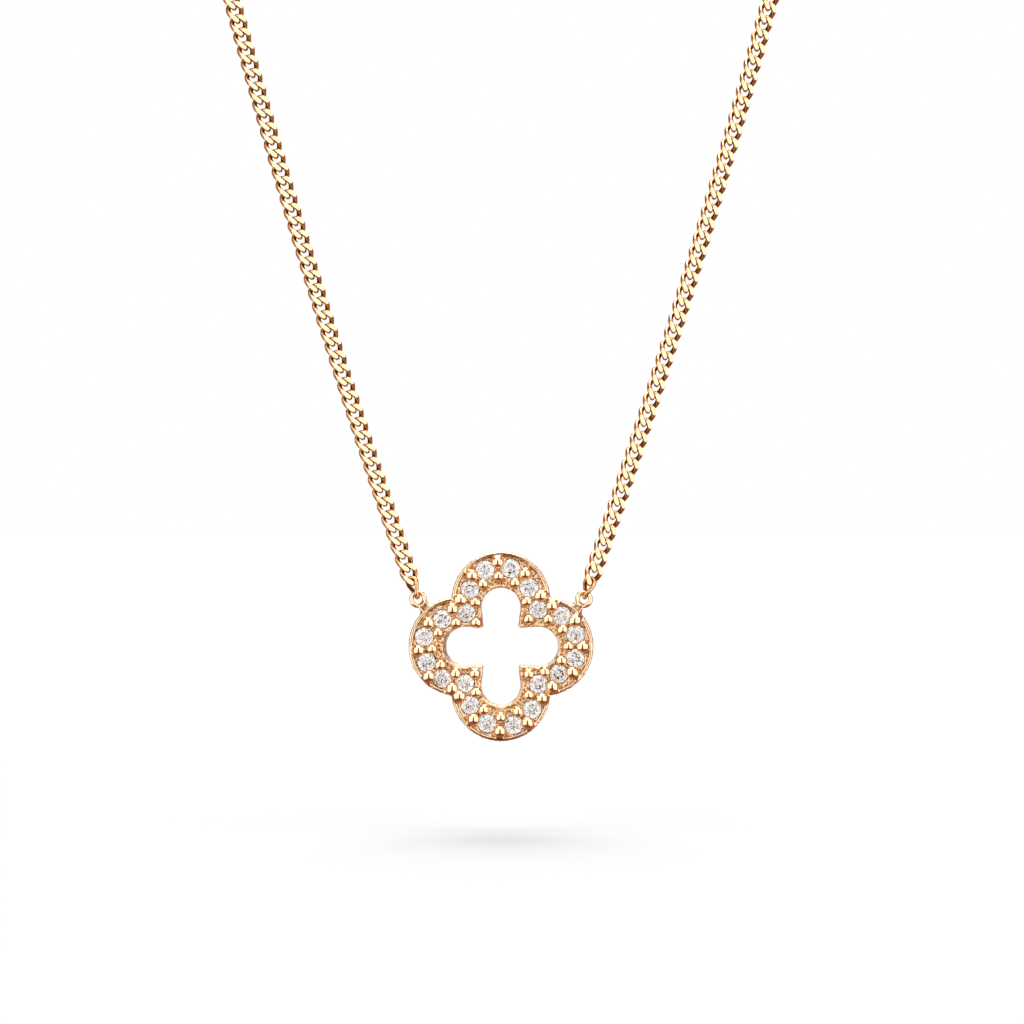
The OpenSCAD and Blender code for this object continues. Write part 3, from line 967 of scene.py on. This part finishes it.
@dataclass
class CloverSetting:
    """The cast clover with its rim, beads and ears, softened at its edges, with sizes in millimetres."""

    route: Route
    plan: CloverPlan
    finish: bpy.types.Material
    field_y: float = -0.45
    bead_lift: float = 0.16
    rim_h: float = 0.15
    ear_wire: float = 0.21
    ear_steps: tuple[int, int] = (64, 20)
    bead_steps: int = 40
    voxel: float = 0.034
    softening: float = 0.5
    soft_rounds: int = 2
    target: int = 170000
    sliver: float = 1e-4
    pits: float = 0.036
    pit_size: float = 0.07
    broad_pits: float = 0.6
    broad_size: float = 2.3
    pit_seeds: tuple[int, int] = (7, 8)
    bend_reach: int = 8
    bend_full: float = 0.012
    front_y: float = -0.5
    back_y: float = 0.55
    draft: float = 0.06
    left_draft: float = 0.13
    left_from: float = -1.3
    left_fade: float = 0.5
    outer_draft: float = 0.05
    draft_reach: float = 0.5
    # Painted shade on the upright side walls, as a share of the bend attribute
    wall_shade_share: float = 0.42
    wall_slope: float = 0.75
    wall_fade: float = 0.3
    back_polish: float = 0.55
    rim_polish: float = 0.8
    rim_share: float = 0.6
    front_depth: float = 0.1
    bead_margin: float = 0.05
    bead_fade: float = 0.04
    ear_reach: float = 0.5
    ear_fade: float = 0.03

    @cached_property
    def bead_balls(self) -> list[tuple[np.ndarray, float]]:
        """Return the beads' middles and radii in space."""
        y = self.field_y - self.bead_lift
        return [(np.array([x, y, z]), r) for (x, z), r in self.plan.beads]

    @cached_property
    def ears(self) -> list[np.ndarray]:
        """Return the middles of the left and the right ear."""
        return [np.array([sign * self.route.ear_side, 0.0, self.route.ear_up]) for sign in (-1.0, 1.0)]

    def build(self) -> bpy.types.Object:
        """Fuse the frame's setting with fine beads and ears into one cast skin.

        Returns:
            The piece, in place.
        """
        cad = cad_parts["clover_setting"].data
        points = rows_of(cad.vertices) / MM + self.route.nape
        shells = [Shell(points, [tuple(p.vertices) for p in cad.polygons])]
        shells += [ball_shell(middle, r, self.bead_steps) for middle, r in self.bead_balls]
        for ear in self.ears:
            shells.append(ring_shell(ear, -FRONT, self.route.ear_r, self.ear_wire, self.ear_steps))
        draft = new_object("draft_setting", Shell.joined(shells).mesh("draft_setting", 1.0))
        fuse = draft.modifiers.new("fuse", "REMESH")
        fuse.mode, fuse.voxel_size, fuse.adaptivity = "VOXEL", self.voxel, 0.0
        soften = draft.modifiers.new("soften", "SMOOTH")
        soften.factor, soften.iterations = self.softening, self.soft_rounds
        cast = new_object("draft_cast", self.evaluated(draft))
        self.pit(cast.data)
        self.taper(cast.data)
        dense, bend = self.bends(cast.data)
        thin = cast.modifiers.new("thin", "DECIMATE")
        thin.ratio = min(1.0, self.target / (2 * len(cast.data.polygons)))
        mesh = self.evaluated(cast)
        self.clean(mesh)
        for item in (draft, cast):
            bpy.data.objects.remove(item)
        tree = tree_of(dense)
        near = [tree.find(v.co)[1] for v in mesh.vertices]
        return self.dressed(mesh, bend[near])

    def bends(self, mesh: bpy.types.Mesh) -> tuple[np.ndarray, np.ndarray]:
        """Work out where the skin is sunken and where it stands out, for the painted shade and the painted
        highlight.

        Args:
            mesh: the fused mesh, in millimetres.

        Returns:
            Its points, and for each a number that is 1 in a recess and -1 on a crest, raised on the side
            walls; it sets the painted shade and the painted highlight.
        """
        count = len(mesh.vertices)
        points, normals = self.skin(mesh)
        ends = np.empty(len(mesh.edges) * 2, np.int64)
        mesh.edges.foreach_get("vertices", ends)
        a, b = ends[0::2], ends[1::2]
        shared = np.bincount(ends, minlength=count)[:, None]
        smooth = points.copy()
        for _ in range(self.bend_reach):
            sums = [np.bincount(a, row[b], count) + np.bincount(b, row[a], count) for row in smooth.T]
            smooth = 0.5 * smooth + 0.5 * np.stack(sums, axis=1) / shared
        # This reading lays painted shade in recesses and a painted highlight on crests
        bend = np.einsum("ij,ij->i", smooth - points, normals) / self.bend_full
        # Painted shade: upright side walls behind the field's face take part of the dark colour
        wall_shade = held((self.wall_slope - np.abs(normals[:, 1])) / self.wall_fade)
        wall_shade = wall_shade * (points[:, 1] > self.field_y) * self.wall_shade_share
        return points, np.maximum(np.clip(bend, -1.0, 1.0), wall_shade)

    def pit(self, mesh: bpy.types.Mesh) -> None:
        """Give the cast skin its small pits and bumps, and leave the polished places smooth.

        Args:
            mesh: the fused mesh, in millimetres about the clover's centre.
        """
        points, normals = self.skin(mesh)
        fine, broad = self.pit_seeds
        depth = Grain(fine, self.pit_size).at(points)
        depth = depth + self.broad_pits * Grain(broad, self.pit_size * self.broad_size).at(points)
        share = self.pits * (1 - self.polish(points))
        move_points(mesh, points + normals * (share * depth)[:, None])

    def taper(self, mesh: bpy.types.Mesh) -> None:
        """Give the walls their casting draft: the opening narrows towards the back, and the outline widens.

        Args:
            mesh: the fused mesh, in millimetres about the clover's centre.
        """
        points, normals = self.skin(mesh)
        outline, inward = self.plan.opening()
        tree = tree_of(np.insert(outline, 1, 0.0, axis=1))
        found = [tree.find((x, 0.0, z)) for x, z in points[:, [0, 2]].tolist()]
        near, away = np.array([f[1] for f in found]), np.array([f[2] for f in found])
        deep = held((points[:, 1] - self.front_y) / (self.back_y - self.front_y))
        left = held((self.left_from - outline[near, 0]) / self.left_fade) * held(inward[near, 0])
        close = held(1 - away / self.draft_reach)
        moved = points.copy()
        moved[:, [0, 2]] += inward[near] * ((self.draft + self.left_draft * left) * close * deep)[:, None]
        upright = held(1 - normals[:, 1] ** 2) * (away > self.draft_reach)
        moved[:, [0, 2]] += normals[:, [0, 2]] * (self.outer_draft * upright * deep)[:, None]
        move_points(mesh, moved)

    @staticmethod
    def skin(mesh: bpy.types.Mesh) -> tuple[np.ndarray, np.ndarray]:
        """Return a mesh's points and their normals, one row each."""
        return rows_of(mesh.vertices), rows_of(mesh.vertex_normals, "vector")

    def clean(self, mesh: bpy.types.Mesh) -> None:
        """Clean a mesh of slivers and of the crumbs that lie apart from its largest part.

        Args:
            mesh: the mesh, in millimetres; it is changed in place.
        """
        body = bmesh.new()
        body.from_mesh(mesh)
        bmesh.ops.dissolve_degenerate(body, dist=self.sliver, edges=body.edges[:])
        bmesh.ops.triangulate(body, faces=body.faces[:])
        left, parts = set(body.verts), []
        while left:
            part, fresh = set(), {left.pop()}
            while fresh:
                part |= fresh
                fresh = {e.other_vert(v) for v in fresh for e in v.link_edges} - part
            left -= part
            parts.append(part)
        largest = max(parts, key=len)
        crumbs = [v for v in body.verts if v not in largest]
        log.info("the cast skin loses %d crumbs", len(parts) - 1)
        bmesh.ops.delete(body, geom=crumbs, context="VERTS")
        body.to_mesh(mesh)
        body.free()

    @staticmethod
    def evaluated(item: bpy.types.Object) -> bpy.types.Mesh:
        """Return a new mesh of an object with its modifiers applied."""
        graph = bpy.context.evaluated_depsgraph_get()
        return bpy.data.meshes.new_from_object(item.evaluated_get(graph))

    def dressed(self, mesh: bpy.types.Mesh, bend: np.ndarray) -> bpy.types.Object:
        """Put the fused mesh in place and dress it.

        Args:
            mesh: the mesh, in millimetres about the clover's centre.
            bend: how sunken each of its points is, which sets its painted shade and painted highlight.

        Returns:
            The piece.
        """
        points = rows_of(mesh.vertices)
        polish = self.polish(points)
        move_points(mesh, (points - self.route.nape) * MM)
        set_attribute(mesh, "polish", "POINT", polish)
        set_attribute(mesh, "bend", "POINT", bend)
        mesh.shade_smooth()
        mesh.materials.clear()
        mesh.materials.append(self.finish)
        mesh.name = "cast_clover"
        item = new_object("cast_clover", mesh)
        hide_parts("clover_setting")
        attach(item, "pendant")
        return item

    def polish(self, points: np.ndarray) -> np.ndarray:
        """Work out how polished each point is.

        Args:
            points: points about the clover's centre.

        Returns:
            A share for each point: one on beads and ears, less on the rim, none in the sunken field.
        """
        share = np.full(len(points), self.back_polish)
        share[points[:, 1] < self.field_y + self.front_depth] = 0.0
        share[points[:, 1] < self.field_y - self.rim_share * self.rim_h] = self.rim_polish
        balls = [(middle, r + self.bead_margin, self.bead_fade) for middle, r in self.bead_balls]
        balls += [(ear, self.ear_reach, self.ear_fade) for ear in self.ears]
        for middle, reach, fade in balls:
            away = np.linalg.norm(points - middle, axis=1)
            share = np.maximum(share, held((reach - away) / fade))
        return share


@dataclass
class Stones:
    """The twenty brilliant cut stones, which the frame carries."""

    finish: bpy.types.Material
    count: int = 20

    def dress(self) -> list[bpy.types.Object]:
        """Give every stone its finish.

        Returns:
            The stones' objects.
        """
        items = []
        for i in range(1, self.count + 1):
            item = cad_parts[f"stone_{i:02d}"]
            item.data.materials.clear()
            item.data.materials.append(self.finish)
            items.append(item)
        return items


@dataclass
class Clasp:
    """The plain round clasp at the nape and the end ring that closes into it, in millimetres."""

    route: Route
    finish: bpy.types.Material
    clasp_d: float = 5.5
    clasp_wire: float = 1.1
    lug_r: float = 0.5
    lug_wire: float = 0.34
    ring_wire: float = 0.32
    ring_r: float = 0.91
    ring_mid: float = 2.30
    clasp_steps: tuple[int, int] = (96, 32)
    lug_steps: tuple[int, int] = (48, 20)
    ring_steps: tuple[int, int] = (64, 20)

    def build(self) -> list[bpy.types.Object]:
        """Make the clasp and the end ring.

        Returns:
            The two pieces.
        """
        axis, side = self.route.back_dir, RIGHTWARDS
        clasp_r = (self.clasp_d - self.clasp_wire) / 2
        lug_mid, ring_mid = -(self.clasp_d / 2 + self.lug_r) * side, self.ring_mid * side
        body = ring_shell(np.zeros(3), axis, clasp_r, self.clasp_wire, self.clasp_steps)
        lug = ring_shell(lug_mid, axis, self.lug_r, self.lug_wire, self.lug_steps)
        ring = ring_shell(ring_mid, np.cross(axis, side), self.ring_r, self.ring_wire, self.ring_steps)
        clasp = self.item("round_clasp", Shell.joined([body, lug]))
        end_ring = self.item("plain_end_ring", ring)
        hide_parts("clasp")
        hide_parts("end_ring")
        for piece in (clasp, end_ring):
            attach(piece, "necklace")
        return [clasp, end_ring]

    def item(self, name: str, shell: Shell) -> bpy.types.Object:
        """Make an object of a shell with the clasp's finish.

        Args:
            name: the object's name.
            shell: its shape.

        Returns:
            The object.
        """
        mesh = shell.mesh(name)
        mesh.materials.append(self.finish)
        return new_object(name, mesh)


@dataclass(frozen=True)
class Softbox:
    """A soft panel of light, placed by its bearing rightwards from the front and its height, in degrees."""

    bearing: float
    height: float
    half_width: float
    half_height: float
    edge: float
    strength: float

    def inputs(self) -> dict[str, object]:
        """Work out the panel's directions and half angles.

        Returns:
            Them, by the names of its group's inputs.
        """
        a, e = math.radians(self.bearing), math.radians(self.height)
        out = np.array([math.sin(a) * math.cos(e), -math.cos(a) * math.cos(e), math.sin(e)])
        side = np.array([math.cos(a), math.sin(a), 0.0])
        ways = {"Sideways": side, "Upward": np.cross(out, side), "Outward": out}
        angles = {"Half Width": self.half_width, "Half Height": self.half_height, "Edge": self.edge}
        directions = {label: tuple(float(c) for c in way) for label, way in ways.items()}
        return directions | {label: math.radians(angle) for label, angle in angles.items()}


@dataclass
class Studio:
    """The pale floor, the soft light and the camera, with the camera's sizes in millimetres."""

    route: Route
    floor_finish: bpy.types.Material
    floor_drop: float = 10.1
    distance: float = 229.0
    frame_width: float = 55.05
    sensor: float = 36.0
    sight: Pair = (0.01, 20.0)
    aim: Pair = (0.59, 7.22)
    floor_half: float = 3.0
    ambient: float = 0.07
    panels: tuple[Softbox, ...] = (
        Softbox(-50, 6, 38, 40, 6, 1.55),
        Softbox(50, 6, 38, 40, 6, 1.55),
        Softbox(0, -62, 70, 24, 12, 0.2),
        Softbox(0, 60, 34, 18, 8, 1.2),
        Softbox(180, 72, 22, 38, 8, 5.2),
        Softbox(180, -25, 75, 65, 14, 0.3),
        Softbox(180, 8, 20, 26, 8, 0.8),
    )
    warm_dark: Colour = (1.0, 0.33, 0.08)
    warm_until: float = 0.2
    warm_fade: float = 0.7

    def build(self) -> None:
        """Make the world, the camera and the floor."""
        self.light()
        self.camera()
        height = (-self.route.nape[2] - self.floor_drop) * MM
        half = self.floor_half
        corners = [(x * half, y * half, height) for x, y in ((-1, -1), (1, -1), (1, 1), (-1, 1))]
        mesh = bpy.data.meshes.new("pale_floor")
        mesh.from_pydata(corners, [], [(0, 1, 2, 3)])
        mesh.materials.append(self.floor_finish)
        floor = new_object("pale_floor", mesh)
        floor.visible_glossy = False

    def softbox_group(self) -> bpy.types.NodeTree:
        """Build the node group of one panel of light.

        Returns:
            The group: its output is one inside the panel and none outside it.
        """
        ways = ("Sideways", "Upward", "Outward")
        sizes = {"Half Width": 0.5, "Half Height": 0.5, "Edge": 0.1}
        desk, inside, out = new_group("soft_panel", sizes, ["Mask"], ("Direction", *ways))
        source = inside.outputs
        parts = []
        for label in ways:
            pair = {0: source["Direction"], 1: source[label]}
            parts.append(desk.node("ShaderNodeVectorMath", pair, operation="DOT_PRODUCT").outputs["Value"])
        masks = []
        for part, label in zip(parts, ("Half Width", "Half Height")):
            angle = desk.math("ABSOLUTE", desk.math("ARCTAN2", part, parts[2]))
            over = desk.math("SUBTRACT", angle, source[label])
            masks.append(desk.math("DIVIDE", over, source["Edge"]))
        worst = desk.math("MAXIMUM", masks[0], masks[1])
        desk.join(desk.ramp(worst, (-1.0, 1.0), (1.0, 0.0)), out.inputs["Mask"])
        return desk.tree

    def light(self) -> None:
        """Make the world: soft panels round the pendant, seen as plain white by the camera."""
        world = bpy.data.worlds.new("soft_studio")
        bpy.context.scene.world = world
        world.use_nodes = True
        desk = Desk(world.node_tree)
        world.node_tree.nodes.clear()
        group = self.softbox_group()
        direction = desk.node("ShaderNodeTexCoord").outputs["Generated"]
        total: object = self.ambient
        for panel in self.panels:
            node = desk.node("ShaderNodeGroup", {"Direction": direction} | panel.inputs(), node_tree=group)
            total = desk.math("MULTIPLY_ADD", node.outputs["Mask"], panel.strength, total)
        warmth = desk.math("DIVIDE", desk.math("SUBTRACT", total, self.warm_until), self.warm_fade)
        tint = desk.blend(warmth, self.warm_dark, WHITE)
        glow = desk.node("ShaderNodeBackground", {"Color": tint, "Strength": total})
        plain = desk.node("ShaderNodeBackground", {"Color": (*WHITE, 1.0), "Strength": 1.0})
        seen = desk.node("ShaderNodeLightPath").outputs["Is Camera Ray"]
        mix = desk.node("ShaderNodeMixShader", {0: seen, 1: glow.outputs[0], 2: plain.outputs[0]})
        desk.node("ShaderNodeOutputWorld", {"Surface": mix.outputs[0]})
        bpy.context.scene.view_settings.view_transform = "Standard"

    def camera(self) -> None:
        """Make the camera: level, in front of the clover, with a long lens."""
        data = bpy.data.cameras.new("studio_camera")
        data.sensor_width = self.sensor
        data.lens = self.sensor * self.distance / self.frame_width
        data.clip_start, data.clip_end = self.sight
        camera = new_object("studio_camera", data)
        place = np.array([self.aim[0], -self.distance, self.aim[1]]) - self.route.nape
        camera.location = tuple(place * MM)
        camera.rotation_euler = (math.radians(QUARTER), 0.0, 0.0)
        bpy.context.scene.camera = camera


def report(items: list[bpy.types.Object]) -> None:
    """Log the name and face count of each piece."""
    for item in items:
        log.info("%s: %d faces", item.name, len(item.data.polygons))


def main() -> None:
    """Build and dress every piece in order."""
    logging.basicConfig(level=logging.INFO, format="%(name)s %(message)s")
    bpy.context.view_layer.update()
    route = Route()
    skin = GoldSkin()
    clover_gold = GoldFinish("cast_rose_gold", two_finishes=True)
    chain_gold = GoldFinish(
        "chain_rose_gold",
        # Painted shade: this dark deep colour darkens the chain's round wire beside its bright flats, broken
        # by random grain
        deep=(0.66, 0.35, 0.11),
        # Painted shade: this near-black colour lies on the links' inward faces
        hollow_shade=(0.20, 0.055, 0.008),
        polished=0.12,
        cast=0.2,
        grain_height=0.000004,
        two_finishes=True,
    )
    clasp_gold = GoldFinish("clasp_rose_gold", polished=0.16, cast=0.24, grain_height=0.000006)
    Studio(route, FloorFinish().material()).build()
    report([CloverSetting(route, CloverPlan(), clover_gold.material(skin)).build()])
    report(Stones(StoneFinish().material()).dress())
    report(CurbChain(route, chain_gold.material(skin)).build())
    report(Clasp(route, clasp_gold.material(skin)).build())
    log.info("clover centre from the nape, mm: %s", (-route.nape).round(4).tolist())


if __name__ == "__main__":
    main()
